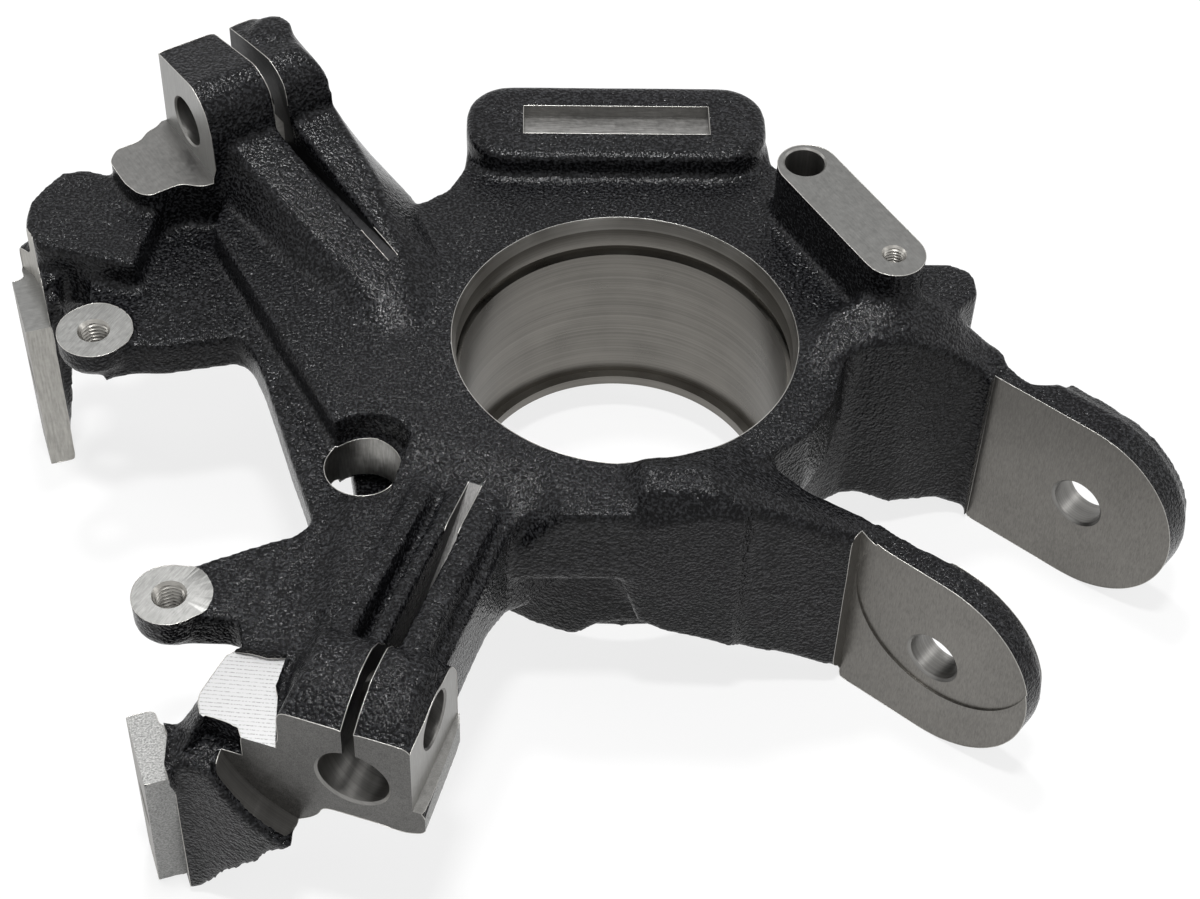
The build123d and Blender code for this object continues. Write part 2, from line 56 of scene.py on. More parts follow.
# ---------------------------------------------------------------- plan of the knuckle
# bearing bore, hub and lip
SEAT_R, SEAT_BOTTOM = 44.0, -23.0
RIM_R, RIM_DEPTH, LEAD_R = 46.0, 3.6, 44.9
GROOVE_R, GROOVE_Z = 46.6, (23.6, 26.4)
LIP_R, LIP_Z, LIP_FLARE = 41.5, (-30.0, -26.0), 4.0
HUB_TOP, HUB_BOTTOM = 36.0, -27.0
# long pad
PAD_TOP, RECESS_AT, RECESS_SIZE, RECESS_DEPTH = 43.5, (-0.5, 78.5), (52.8, 12.0), 4.0
# sensor boss
SENSOR_TOP, SENSOR_AZ, SENSOR_ORIGIN, SENSOR_HALF = 53.5, -60.1, (39.2, 51.4), 8.6
SENSOR_HOLE_AT, SENSOR_HOLE_R, SENSOR_HOLE_DEPTH = 6.9, 5.5, 45.0
SENSOR_SCREW_AT, SENSOR_SCREW_DEPTH = 48.9, 20.0
# web: its hole, and bosses as plan x and y, face height and underside height
WEB_HOLE, WEB_HOLE_R, WEB_HOLE_TOP, WEB_HOLE_DEPTH = (-68.0, -39.2), 9.9, 27.4, 16.4
M8_BOSSES = ((-141.9, 8.5, 28.0, 15.5), (-113.3, -81.7, 27.5, 15.5))
M8_FACE_R = 11.5
# fork
FORK_Z, FORK_AXIS_AZ, FORK_FAR, FORK_SPAN = -9.0, -130.5, (125.2, -19.6), 71.0
FORK_EAR_FAR, FORK_EAR_NEAR, FORK_HOLE_R = 11.0, 9.6, 7.1
FORK_REACH, FORK_BACK_FAR, FORK_BACK_NEAR = 36.0, -31.6, -26.0
FORK_STEP, FORK_ZONE_R, FORK_SPOT_R, FORK_SPOT_LEFT = 0.6, 27.0, 14.0, 9.0
FORK_Z0, FORK_Z1 = -50.0, 40.0
# lower and upper clamps; a pinch hole's place is inward from the end face, then its height
LOW, LOW_AZ, LOW_W = (-83.8, -126.5), 70.5, 33.0
UP, UP_AZ = (-127.7, 78.9), -58.1
STUD_R, PINCH_R = 9.0, 7.1
LOW_STUD_Z, LOW_STUD_DEPTH, LOW_STUD_SIDE = 22.3, 27.0, 18.2
UP_STUD_Z, UP_STUD_DEPTH, UP_STUD_SIDE = 41.5, 26.0, 19.0
LOW_PINCH, LOW_PINCH_DEPTH = (15.7, 32.3), 28.5
UP_PINCH, UP_PINCH_DEPTH = (14.6, 51.7), 33.0
LOW_LEDGE_Z, UP_LEDGE_Z, LOW_STEP_Z, POCKET_Z = 26.0, 42.0, 16.3, 18.8
ARC_AT, ARC_Z, ARC_R = (-40.0, 17.0), 29.8, 34.1
SLOT_RUN = 96.0
# left ears
EAR_AZ, EAR_FACE, EAR_PLATE, EAR_FACET, EAR_BOTTOM = 197.6, 149.6, 7.0, 16.0, -38.0
EAR_INNER = 68.0
EAR_HOLE_R, EAR_HOLE_T, EAR_HOLE_Z = 5.25, 76.5, -9.0
# threads: minor and major radius and pitch
M6 = (2.5, 3.0, 1.0)
M8 = (3.4, 4.05, 1.25)
THREAD_LEAD, THREAD_MOUTH = 0.3, 0.65
THREAD_SIDES, THREAD_ROWS = 40, 8.0

# ---------------------------------------------------------------- how the casting is worked
# machining stock above a face, and how far it reaches down into the blank
STOCK, STOCK_SUNK = 2.6, 0.6
# metres: how far off a plane its faces may lie, and the least outward step in a hollow corner
FLAT_WITHIN, HOLLOW_STEP = 3e-5, 4e-6
VOXEL, BLANK_TRIANGLES = 1.0, 165000
# softening: passes of each kind, and the share of the way to the mean that each one moves
EVEN_PASSES, HOLLOW_PASSES, LAST_PASSES, RELAX = 3, 2, 2, 0.5
RIPPLE = 0.1
# degrees: least bend of an edge that carries a bead, and of one that is shaded sharp
BEAD_R, BEAD_ANGLE, SHARP_ANGLE = 0.11, 38.0, 32.0
ROUND_FINISHES = ("coat", "swept", "bored", "rim_cut_painted_highlight", "drilled", "web_drilled", "tapped")


def unit(az):
    return (cos(radians(az)), sin(radians(az)))


def local(origin, az, along, left):
    a, b = unit(az), unit(az + 90)
    return (origin[0] + along * a[0] + left * b[0], origin[1] + along * a[1] + left * b[1])


def low(s, u):
    """Plan point of the lower clamp: s inward from its end face, u to its right."""
    return local(LOW, LOW_AZ, s, -u)


def up(s, v):
    """Plan point of the upper clamp: s inward from its end face, v to its left."""
    return local(UP, UP_AZ, s, v)


def ear_at(n, t):
    """Plan point on the left ears: n out from the bore's axis, t along their face."""
    return local((0, 0), EAR_AZ, n, t)


def fork_at(along, depth):
    """Plan point on the fork: along the ears' run, and depth from the far ear's inner face."""
    a, b = unit(FORK_AXIS_AZ), unit(FORK_AXIS_AZ + 90)
    return (FORK_FAR[0] + along * b[0] + depth * a[0], FORK_FAR[1] + along * b[1] + depth * a[1])


def minus(v):
    return tuple(-c for c in v)


DOWN = (0, 0, -1)
TO_NEAR, EAR_OUT = (*unit(FORK_AXIS_AZ), 0), (*unit(EAR_AZ), 0)
TO_FAR = minus(TO_NEAR)
LOW_IN, LOW_RIGHT = (*unit(LOW_AZ), 0), (*unit(LOW_AZ - 90), 0)
UP_IN, UP_SIDE = (*unit(UP_AZ), 0), (*unit(UP_AZ - 90), 0)
NEAR_INNER = FORK_SPAN - FORK_EAR_NEAR
sensor_hole = local(SENSOR_ORIGIN, SENSOR_AZ, SENSOR_HOLE_AT, SENSOR_HALF)
sensor_screw = local(SENSOR_ORIGIN, SENSOR_AZ, SENSOR_SCREW_AT, SENSOR_HALF)
low_stud = (*low(0, LOW_STUD_SIDE), LOW_STUD_Z)
low_pinch = (*low(LOW_PINCH[0], LOW_W), LOW_PINCH[1])
up_stud = (*up(0, UP_STUD_SIDE), UP_STUD_Z)
up_pinch = (*up(UP_PINCH[0], 0), UP_PINCH[1])
ear_near = (*ear_at(EAR_FACE, EAR_HOLE_T), EAR_HOLE_Z)
ear_far = (*ear_at(EAR_FACE, -EAR_HOLE_T), EAR_HOLE_Z)


# ---------------------------------------------------------------- solids for stock and cuts
def put(name, data):
    """New object in the scene."""
    piece = bpy.data.objects.new(name, data)
    bpy.context.scene.collection.objects.link(piece)
    return piece


def give_finishes(mesh):
    """Every finish in one order, so that a face keeps its own through the cuts."""
    for finish in FINISHES:
        mesh.materials.append(FINISH_OF[finish])


def worked_out(piece):
    """The piece's mesh with its modifiers applied."""
    graph = bpy.context.evaluated_depsgraph_get()
    return bpy.data.meshes.new_from_object(piece.evaluated_get(graph))


def body_from(name, verts, faces, finishes):
    """Closed mesh in metres from millimetre points, with one finish per face."""
    mesh = bpy.data.meshes.new(name)
    mesh.from_pydata([Vector(v) * MM for v in verts], [], faces)
    give_finishes(mesh)
    for polygon, finish in zip(mesh.polygons, finishes):
        polygon.material_index = FINISHES.index(finish)
    work = bmesh.new()
    work.from_mesh(mesh)
    bmesh.ops.recalc_face_normals(work, faces=work.faces)
    work.to_mesh(mesh)
    work.free()
    return put(name, mesh)


def prism_faces(n):
    """Faces between two ends of n points: both ends, then one face for each side."""
    ends = [tuple(range(n)), tuple(range(2 * n - 1, n - 1, -1))]
    return ends + [(i, (i + 1) % n, n + (i + 1) % n, n + i) for i in range(n)]


def block(name, outline, sweep, near="faced", far="faced", sides="faced"):
    """Outline points swept along a vector; sides is one finish or one for each edge."""
    n = len(outline)
    base = [Vector(p) for p in outline]
    verts = base + [p + Vector(sweep) for p in base]
    edge = [sides] * n if isinstance(sides, str) else list(sides)
    return body_from(name, verts, prism_faces(n), [near, far] + edge)


def slab(name, plan, z0, z1, floor="faced", sides="coat"):
    """Upright block on a plan outline; its underside leaves the floor finish."""
    return block(name, [(x, y, z0) for x, y in plan], (0, 0, z1 - z0), floor, floor, sides)


def section(name, origin, az, profile, side0, side1, near="faced", far="faced", sides="faced"):
    """Block with an (along, height) profile, between two offsets to the left of its run."""
    points = [(*local(origin, az, s, side0), z) for s, z in profile]
    b, width = unit(az + 90), side1 - side0
    return block(name, points, (width * b[0], width * b[1], 0), near, far, sides)


def turned(name, origin, axis, profile, steps=96):
    """Solid of revolution; profile rows are radius, height and the next face's finish."""
    axis = Vector(axis).normalized()
    across = axis.orthogonal().normalized()
    third = axis.cross(across)
    origin = Vector(origin)
    verts, rings = [], []
    for radius, height, _ in profile:
        middle = origin + axis * height
        if radius < 1e-6:
            rings.append([len(verts)] * steps)
            verts.append(middle)
            continue
        rings.append(list(range(len(verts), len(verts) + steps)))
        for k in range(steps):
            turn = 2 * pi * k / steps
            verts.append(middle + across * (radius * cos(turn)) + third * (radius * sin(turn)))
    faces, finishes = [], []
    for (_, _, finish), a, b in zip(profile, rings, rings[1:]):
        for k in range(steps):
            m = (k + 1) % steps
            corners = [a[k], a[m], b[m], b[k]]
            face = [c for i, c in enumerate(corners) if c not in corners[:i]]
            if len(face) > 2:
                faces.append(tuple(face))
                finishes.append(finish)
    return body_from(name, verts, faces, finishes)


def drill(
    name, origin, axis, radius, depth, finish="drilled", mouth=0.0, pointed=False, steps=64,
    lead=6.0, end=None,
):
    """Hole cutter from a face point inward, with a chamfered mouth and a flat or pointed end."""
    tip = 0.3 * radius if pointed else 0.0
    profile = [
        (0.0, -lead, finish), (radius + mouth, -lead, finish), (radius + mouth, 0.0, finish),
        (radius, mouth, finish), (radius, depth, end or finish), (0.0, depth + tip, finish),
    ]
    if mouth == 0.0:
        profile.pop(2)
    return turned(name, origin, axis, profile, steps)


# ---------------------------------------------------------------- node helpers
def new_finish(name):
    finish = bpy.data.materials.new(name)
    finish.use_nodes = True
    tree = finish.node_tree
    for node in list(tree.nodes):
        tree.nodes.remove(node)
    out = tree.nodes.new("ShaderNodeOutputMaterial")
    shader = tree.nodes.new("ShaderNodeBsdfPrincipled")
    tree.links.new(shader.outputs[0], out.inputs[0])
    where = tree.nodes.new("ShaderNodeTexCoord")
    return finish, tree, shader, where.outputs["Object"]


def feed(tree, node, inputs):
    """Links or sets a node's inputs, each by its name or by its place as i0, i1 and so on."""
    for key, value in inputs.items():
        placed = key[0] == "i" and key[1:].isdigit()
        socket = node.inputs[int(key[1:]) if placed else key]
        if isinstance(value, bpy.types.NodeSocket):
            tree.links.new(value, socket)
        else:
            socket.default_value = value


def add(tree, kind, settings=(), **inputs):
    node = tree.nodes.new(kind)
    for key, value in settings:
        setattr(node, key, value)
    feed(tree, node, inputs)
    return node


def turn_to(tree, vector, turn, stretch=(1, 1, 1)):
    """Coordinates turned and stretched so that a pattern lies along a face."""
    return add(
        tree, "ShaderNodeMapping", [("vector_type", "TEXTURE")],
        Vector=vector, Rotation=turn, Scale=stretch,
    ).outputs[0]


def noise_of(tree, vector, cell, detail=2.0, rough=0.5):
    """Noise whose cells are about that many millimetres."""
    return add(
        tree, "ShaderNodeTexNoise", Vector=vector, Scale=1.0 / (cell * MM), Detail=detail,
        Roughness=rough,
    ).outputs["Fac"]


def span(tree, value, low0, high0, low1, high1):
    return add(
        tree, "ShaderNodeMapRange", [("clamp", True)], Value=value,
        i1=low0, i2=high0, i3=low1, i4=high1,
    ).outputs[0]


def maths(tree, kind, a, b):
    return add(tree, "ShaderNodeMath", [("operation", kind)], i0=a, i1=b).outputs[0]


def blend(tree, *parts):
    """Sum of values, each times its weight."""
    total, *rest = [maths(tree, "MULTIPLY", value, weight) for value, weight in parts]
    for part in rest:
        total = maths(tree, "ADD", total, part)
    return total


def seen_directly(tree):
    """1 for rays from the camera, off a gloss or through glass, and 0 for light on its way."""
    rays = tree.nodes.new("ShaderNodeLightPath").outputs
    seen = maths(tree, "MAXIMUM", rays["Is Camera Ray"], rays["Is Glossy Ray"])
    return maths(tree, "MAXIMUM", seen, rays["Is Transmission Ray"])


def relief(tree, shader, height, depth):
    """Bump of that depth in millimetres."""
    bump = add(tree, "ShaderNodeBump", Height=height, Distance=depth * MM, Strength=1.0)
    tree.links.new(bump.outputs[0], shader.inputs["Normal"])


def tint(tree, value, dark, light):
    """Colour between dark and light as the value goes from 0 to 1."""
    ramp = add(tree, "ShaderNodeValToRGB", Fac=value)
    ramp.color_ramp.elements[0].color = (*dark, 1)
    ramp.color_ramp.elements[1].color = (*light, 1)
    return ramp.outputs[0]


def two_tones(shade, spread):
    """A shade made darker and lighter by the same share."""
    return [tuple(min(1.0, c * share) for c in shade) for share in (1 - spread, 1 + spread)]


def node_group(name, inputs):
    """Empty geometry node group, the key of each named input, and the sockets that give them."""
    tree = bpy.data.node_groups.new(name, "GeometryNodeTree")
    tree.is_modifier = True
    keys = {}
    for label, kind in (("Geometry", "Geometry"), *inputs):
        socket = tree.interface.new_socket(
            label, in_out="INPUT", socket_type="NodeSocket" + kind
        )
        keys[label] = socket.identifier
    tree.interface.new_socket("Geometry", in_out="OUTPUT", socket_type="NodeSocketGeometry")
    return tree, keys, tree.nodes.new("NodeGroupInput").outputs


def close_group(tree, geometry, finish):
    """Ends a node group: one real mesh, all of it in the finish."""
    whole = add(tree, "GeometryNodeRealizeInstances", Geometry=geometry).outputs[0]
    faced = add(
        tree, "GeometryNodeSetMaterial", Geometry=whole, Material=finish
    ).outputs[0]
    tree.links.new(faced, tree.nodes.new("NodeGroupOutput").inputs[0])


def grow(holder, group, values):
    """Gives the holder the mesh that a node group makes of it with those values."""
    tree, keys = group
    modifier = holder.modifiers.new(tree.name, "NODES")
    modifier.node_group = tree
    for label, value in values.items():
        modifier[keys[label]] = value
    mesh = worked_out(holder)
    holder.modifiers.remove(modifier)
    holder.data = mesh
    return mesh


# ---------------------------------------------------------------- threads
def thread_tree():
    """Node group: a closed tube whose wall swings between two radii along a helix."""
    tree, keys, given = node_group("tapped_thread", (
        ("Minor radius", "Float"), ("Major radius", "Float"), ("Pitch", "Float"),
        ("Depth", "Float"), ("Finish", "Material"),
    ))

    def math(kind, a, b=0.0, c=None):
        values = {"i0": a, "i1": b} if c is None else {"i0": a, "i1": b, "i2": c}
        return add(tree, "ShaderNodeMath", [("operation", kind)], **values).outputs[0]

    turns = math("DIVIDE", given["Depth"], given["Pitch"])
    rows = math("CEIL", math("MULTIPLY", turns, THREAD_ROWS))
    tube = add(
        tree, "GeometryNodeMeshCylinder", [("fill_type", "NGON")], Vertices=THREAD_SIDES,
        Radius=1.0, Depth=given["Depth"], **{"Side Segments": rows},
    )
    place = tree.nodes.new("GeometryNodeInputPosition").outputs[0]
    split = add(tree, "ShaderNodeSeparateXYZ", i0=place).outputs
    deep = math("SUBTRACT", math("MULTIPLY", given["Depth"], 0.5), split[2])
    angle = math("DIVIDE", math("ARCTAN2", split[1], split[0]), 2 * pi)
    turned_by = math("ADD", angle, 0.5)
    wave = math("FRACT", math("SUBTRACT", math("DIVIDE", deep, given["Pitch"]), turned_by))
    swing = math("ABSOLUTE", math("SUBTRACT", math("MULTIPLY", wave, 2.0), 1.0))
    crest = span(tree, swing, 0.17, 0.83, 1.0, 0.0)
    height = math("SUBTRACT", given["Major radius"], given["Minor radius"])
    wall = math("ADD", given["Minor radius"], math("MULTIPLY", crest, height))
    mouth = math("SUBTRACT", math("ADD", given["Major radius"], THREAD_MOUTH * MM), deep)
    radius = math("MAXIMUM", wall, mouth)
    x, y = (math("MULTIPLY", split[i], radius) for i in (0, 1))
    moved = add(tree, "ShaderNodeCombineXYZ", i0=x, i1=y, i2=split[2]).outputs[0]
    shaped = add(
        tree, "GeometryNodeSetPosition", Geometry=tube.outputs["Mesh"], Position=moved
    ).outputs[0]
    close_group(tree, shaped, given["Finish"])
    return tree, keys


def tap(name, origin, axis, thread, depth):
    """Tapped-hole cutter with its chamfered mouth at the face point."""
    minor, major, pitch = thread
    holder = put(name, bpy.data.meshes.new(name))
    mesh = grow(holder, THREAD, {
        "Minor radius": minor * MM, "Major radius": major * MM, "Pitch": pitch * MM,
        "Depth": (depth + THREAD_LEAD) * MM, "Finish": FINISH_OF["tapped"],
    })
    axis = Vector(axis).normalized()
    turn = (-axis).to_track_quat("Z", "Y").to_matrix().to_4x4()
    middle = (Vector(origin) + axis * (0.5 * (depth + THREAD_LEAD) - THREAD_LEAD)) * MM
    mesh.transform(Matrix.Translation(middle) @ turn)
    mesh.materials.clear()
    give_finishes(mesh)
    for polygon in mesh.polygons:
        polygon.material_index = FINISHES.index("tapped")
    return holder


# ---------------------------------------------------------------- finishes
def coat_finish():
    """Thin black dip coat over sand grain: dark, glossy, rougher towards the lower arm, painted
    glints on high grain.
    """
    finish, tree, shader, here = new_finish("black_dip_coat")
    grain = noise_of(tree, here, 0.8, 1.0, 0.5)
    coarse = noise_of(tree, here, 1.5, 1.0, 0.5)
    patch = span(tree, noise_of(tree, here, 22.0, 2.0, 0.5), 0.35, 0.65, 0.7, 1.05)
    along_y = add(tree, "ShaderNodeSeparateXYZ", i0=here).outputs[1]
    calm = span(tree, along_y, -0.045, 0.055, 1.0, 0.7)
    height = maths(tree, "ADD", grain, maths(tree, "MULTIPLY", coarse, 0.7))
    height = maths(tree, "MULTIPLY", maths(tree, "MULTIPLY", height, patch), calm)
    relief(tree, shader, height, 0.48)
    # painted glints: the coat's colour is lighter where the grain is high, in place of sparkle off
    # it
    raised = span(tree, grain, 0.45, 0.7, 0.0, 1.0)
    feed(tree, shader, {
        "Base Color": tint(tree, raised, (0.002, 0.002, 0.0024), (0.022, 0.0225, 0.0245)),
        "Roughness": span(tree, grain, 0.3, 0.7, 0.16, 0.1), "IOR": 1.22,
    })
    return finish


def milled(
    name, shade, turn, roughness=0.38, groove=0.35, depth=0.02, spread=0.14, stretch=22.0
):
    """Bare iron with fine cutter lines that run one way across the face."""
    finish, tree, shader, here = new_finish(name)
    lines = noise_of(tree, turn_to(tree, here, turn, (stretch, 1, 1)), groove, 2.0, 0.6)
    mottle = noise_of(tree, here, 1.6, 4.0, 0.65)
    cloud = noise_of(tree, here, 22.0, 2.0, 0.5)
    mixed = blend(tree, (lines, 0.5), (mottle, 0.3), (cloud, 0.2))
    feed(tree, shader, {
        "Base Color": tint(tree, span(tree, mixed, 0.38, 0.62, 0, 1), *two_tones(shade, spread)),
        "Roughness": span(tree, mottle, 0.3, 0.7, roughness - 0.05, roughness + 0.07),
        "Metallic": 1.0,
    })
    relief(tree, shader, lines, depth)
    return finish


def ringed(name, shade, axis_turn, roughness=0.3, pitch=0.35, depth=0.012):
    """Bare iron turned in fine rings across a bore's axis."""
    finish, tree, shader, here = new_finish(name)
    along = turn_to(tree, here, axis_turn, (400.0, 400.0, 1.0))
    rings = noise_of(tree, along, pitch, 3.0, 0.6)
    bands = noise_of(tree, along, 9.0 * pitch, 2.0, 0.5)
    cloud = noise_of(tree, here, 14.0, 3.0, 0.5)
    mixed = blend(tree, (rings, 0.4), (cloud, 0.3), (bands, 0.3))
    feed(tree, shader, {
        "Base Color": tint(tree, span(tree, mixed, 0.4, 0.6, 0, 1), *two_tones(shade, 0.22)),
        "Roughness": span(tree, cloud, 0.3, 0.7, roughness - 0.04, roughness + 0.06),
        "Metallic": 1.0,
    })
    relief(tree, shader, rings, depth)
    return finish


def fly_cut(name, shade, turn, pitch):
    """Bright ledge with even rows from a fly cutter."""
    finish, tree, shader, here = new_finish(name)
    laid = turn_to(tree, here, turn)
    rows = add(
        tree, "ShaderNodeTexWave", [("wave_type", "BANDS"), ("bands_direction", "Y")],
        Vector=laid, Scale=pi / (10.0 * pitch * MM), Distortion=0.6, Detail=1.0,
    ).outputs["Fac"]
    specks = noise_of(tree, here, 0.45, 2.0, 0.6)
    troughs = span(tree, rows, 0.3, 0.0, 0.0, 1.0)
    marks = maths(tree, "MULTIPLY", troughs, span(tree, specks, 0.42, 0.6, 0.1, 1.0))
    dark = tuple(c * 0.5 for c in shade)
    feed(tree, shader, {
        "Base Color": tint(tree, marks, shade, dark), "Roughness": 0.42, "Metallic": 1.0,
    })
    relief(tree, shader, specks, 0.02)
    return finish


def skin_finish():
    """Bare cast skin where the coat has been struck off: grey sand grain."""
    finish, tree, shader, here = new_finish("bare_cast_skin")
    grain = noise_of(tree, here, 0.5, 2.0, 0.6)
    relief(tree, shader, grain, 0.22)
    sand = span(tree, grain, 0.35, 0.65, 0, 1)
    feed(tree, shader, {
        "Base Color": tint(tree, sand, (0.15, 0.15, 0.148), (0.33, 0.33, 0.32)),
        "Roughness": 0.5, "Metallic": 0.6,
    })
    return finish


def level(az):
    """Turn of cutter lines that lie level, at that bearing in plan."""
    return (0, 0, radians(az))


UPRIGHT_LINES = (0, radians(90), 0)
# Bare faces: each has its own cut marks and its own shade; the shades hold painted light and shade,
# one iron made lighter or darker face by face for the light it catches
FINISH_OF = {
    "coat": coat_finish(),
    "faced": milled(
        "fork_face", (0.17, 0.163, 0.151), (0, radians(90), radians(FORK_AXIS_AZ)),
        roughness=0.38, groove=0.3, depth=0.03, spread=0.2, stretch=6.0,
    ),
    "sensor_face": milled(
        "sensor_seat", (0.15, 0.149, 0.144), level(SENSOR_AZ),
        roughness=0.42, groove=0.5, depth=0.02, spread=0.1, stretch=6.0,
    ),
    "clamp_front": milled(
        "clamp_front_face", (0.105, 0.103, 0.099), UPRIGHT_LINES,
        roughness=0.36, groove=0.3, depth=0.04, spread=0.35, stretch=1.5,
    ),
    "clamp_side": milled("clamp_side_face", (0.3, 0.298, 0.29), UPRIGHT_LINES, roughness=0.4),
    "low_side": milled("lower_clamp_side_face", (0.28, 0.276, 0.266), UPRIGHT_LINES, roughness=0.4),
    "low_ledge": fly_cut("fly_cut_ledge", (0.29, 0.29, 0.29), level(-6), pitch=1.15),
    "up_ledge": milled(
        "upper_ledge_face", (0.155, 0.153, 0.148), level(UP_AZ),
        roughness=0.4, groove=0.5, depth=0.02, spread=0.1, stretch=8.0,
    ),
    "swept": ringed(
        "swept_cut", (0.17, 0.166, 0.158), (radians(90), 0, radians(LOW_AZ - 90)),
        roughness=0.36,
    ),
    "bored": ringed("bored_wall", (0.165, 0.157, 0.143), (0, 0, 0)),
    # painted highlight: a lighter copy of the bored iron, for the bore's chamfer cones and the edge
    # beads
    "rim_cut_painted_highlight": ringed("rim_cut_painted_highlight", (0.4, 0.39, 0.37), (0, 0, 0), roughness=0.34),
    "facet": milled(
        "facet_face", (0.19, 0.19, 0.185), level(EAR_AZ),
        roughness=0.4, groove=0.5, depth=0.02, spread=0.1, stretch=8.0,
    ),
    "drilled": ringed(
        "drilled_wall", (0.21, 0.206, 0.197), (radians(90), 0, radians(FORK_AXIS_AZ + 90)),
        roughness=0.42, pitch=0.4, depth=0.03,
    ),
    "web_drilled": milled(
        "web_hole_wall", (0.3, 0.295, 0.28), UPRIGHT_LINES,
        roughness=0.36, groove=0.4, depth=0.03, spread=0.25, stretch=12.0,
    ),
    "tapped": milled("tapped_wall", (0.3, 0.29, 0.27), (0, 0, 0), roughness=0.35),
    "ear_end": milled(
        "ear_end_face", (0.375, 0.366, 0.342), UPRIGHT_LINES,
        roughness=0.5, groove=0.6, depth=0.04, spread=0.2, stretch=10.0,
    ),
    "spotted": milled(
        "spot_face", (0.22, 0.22, 0.213), level(60),
        roughness=0.45, groove=0.3, depth=0.03, spread=0.22, stretch=9.0,
    ),
    "recessed": milled(
        "recess_floor", (0.215, 0.212, 0.205), (0, 0, 0),
        roughness=0.4, groove=0.5, depth=0.03, spread=0.25, stretch=14.0,
    ),
    # painted shade: the saw slots' floor and walls are dark bare iron for the shade inside them
    "slotted": milled(
        "sawn_slot_painted_shade", (0.06, 0.059, 0.058), level(LOW_AZ),
        roughness=0.42, groove=0.4, depth=0.03, spread=0.25, stretch=14.0,
    ),
    "slot_wall": milled(
        "saw_slot_wall_painted_shade", (0.03, 0.03, 0.031), level(LOW_AZ),
        roughness=0.4, groove=0.4, depth=0.03, spread=0.3, stretch=14.0,
    ),
    "skin": skin_finish(),
}
FINISHES = list(FINISH_OF)
THREAD = thread_tree()


# ---------------------------------------------------------------- working the blank
def bare_copy(node):
    """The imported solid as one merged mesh, ready to be worked."""
    copy = node.copy()
    copy.data = node.data.copy()
    copy.parent = None
    copy.name = "knuckle_casting"
    for key in [k for k in copy.keys() if k.startswith("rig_")]:
        del copy[key]
    copy.data.materials.clear()
    bpy.context.scene.collection.objects.link(copy)
    work = bmesh.new()
    work.from_mesh(copy.data)
    bmesh.ops.remove_doubles(work, verts=work.verts, dist=2e-6)
    work.to_mesh(copy.data)
    work.free()
    return copy


def stock_on(name, blank, point, normal, keep=None):
    """Machining stock: the blank's own flat faces in one plane, raised by STOCK."""
    work = bmesh.new()
    work.from_mesh(blank.data)
    point, normal = Vector(point) * MM, Vector(normal).normalized()
    off = [
        f for f in work.faces
        if f.normal.dot(normal) < 0.999
        or max(abs((v.co - point).dot(normal)) for v in f.verts) > FLAT_WITHIN
        or (keep and not keep(f.calc_center_median() / MM))
    ]
    bmesh.ops.delete(work, geom=off, context="FACES")
    raised = bmesh.ops.extrude_face_region(work, geom=work.faces[:])
    lifted = [g for g in raised["geom"] if isinstance(g, bmesh.types.BMVert)]
    sunk = [v for v in work.verts if v not in set(lifted)]
    bmesh.ops.translate(work, verts=sunk, vec=-normal * STOCK_SUNK * MM)
    bmesh.ops.translate(work, verts=lifted, vec=normal * STOCK * MM)
    bmesh.ops.recalc_face_normals(work, faces=work.faces)
    mesh = bpy.data.meshes.new(name)
    work.to_mesh(mesh)
    work.free()
    return put(name, mesh)


def join(blank, extras):
    """All the extras as loose shells of the blank's mesh."""
    work = bmesh.new()
    work.from_mesh(blank.data)
    for extra in extras:
        work.from_mesh(extra.data)
        bpy.data.objects.remove(extra)
    work.to_mesh(blank.data)
    work.free()


def apply_modifier(piece, kind, **settings):
    modifier = piece.modifiers.new(kind.lower(), kind)
    for key, value in settings.items():
        setattr(modifier, key, value)
    mesh = worked_out(piece)
    piece.modifiers.remove(modifier)
    old = piece.data
    piece.data = mesh
    bpy.data.meshes.remove(old)


def read_points(mesh):
    """The mesh's points, one row each."""
    points = np.empty(len(mesh.vertices) * 3)
    mesh.vertices.foreach_get("co", points)
    return points.reshape(-1, 3)


def write_points(mesh, points):
    mesh.vertices.foreach_set("co", points.ravel())
    mesh.update()


def soften(piece, even, hollow, last):
    """Rounds edges as a mould does: even passes, then hollow corners only, then even ones."""
    mesh = piece.data
    n = len(mesh.vertices)
    co = read_points(mesh)
    edge = np.empty(len(mesh.edges) * 2, np.int32)
    mesh.edges.foreach_get("vertices", edge)
    a, b = edge[0::2], edge[1::2]
    count = np.bincount(a, minlength=n) + np.bincount(b, minlength=n)

    def step():
        mean = np.stack([
            (np.bincount(a, co[b, k], n) + np.bincount(b, co[a, k], n)) / count for k in range(3)
        ], 1)
        return mean - co

    for _ in range(even):
        co += RELAX * step()
    write_points(mesh, co)
    normal = np.empty(n * 3)
    mesh.vertex_normals.foreach_get("vector", normal)
    normal = normal.reshape(-1, 3)
    for _ in range(hollow):
        move = step()
        outward = (move * normal).sum(1)
        co += RELAX * move * (outward > HOLLOW_STEP)[:, None]
    for _ in range(last):
        co += RELAX * step()
    write_points(mesh, co)


def ripple(piece, amount):
    """Slight unevenness of a sand mould, on the whole a little inward."""
    mesh = piece.data
    for vertex, normal in zip(mesh.vertices, [v.normal.copy() for v in mesh.vertices]):
        at = vertex.co
        lump = 0.6 * noise.noise(at * 75.0) + 0.4 * noise.noise(at * 190.0 + Vector((7, 3, 1)))
        vertex.co = at + normal * (lump - 0.35) * amount * MM
    mesh.update()


def keep_inside(piece, box):
    """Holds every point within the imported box."""
    low_corner, high_corner = (np.array(corner) for corner in box)
    write_points(piece.data, np.clip(read_points(piece.data), low_corner, high_corner))


def plug(name, origin, axis, radius, length, back=STOCK):
    """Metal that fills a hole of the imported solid, so that the edge of the blank is whole."""
    start = Vector(origin) - Vector(axis).normalized() * back
    far = length + back
    outline = [(0, 0, "coat"), (radius, 0, "coat"), (radius, far, "coat"), (0, far, "coat")]
    return turned(name, start, axis, outline, 48)


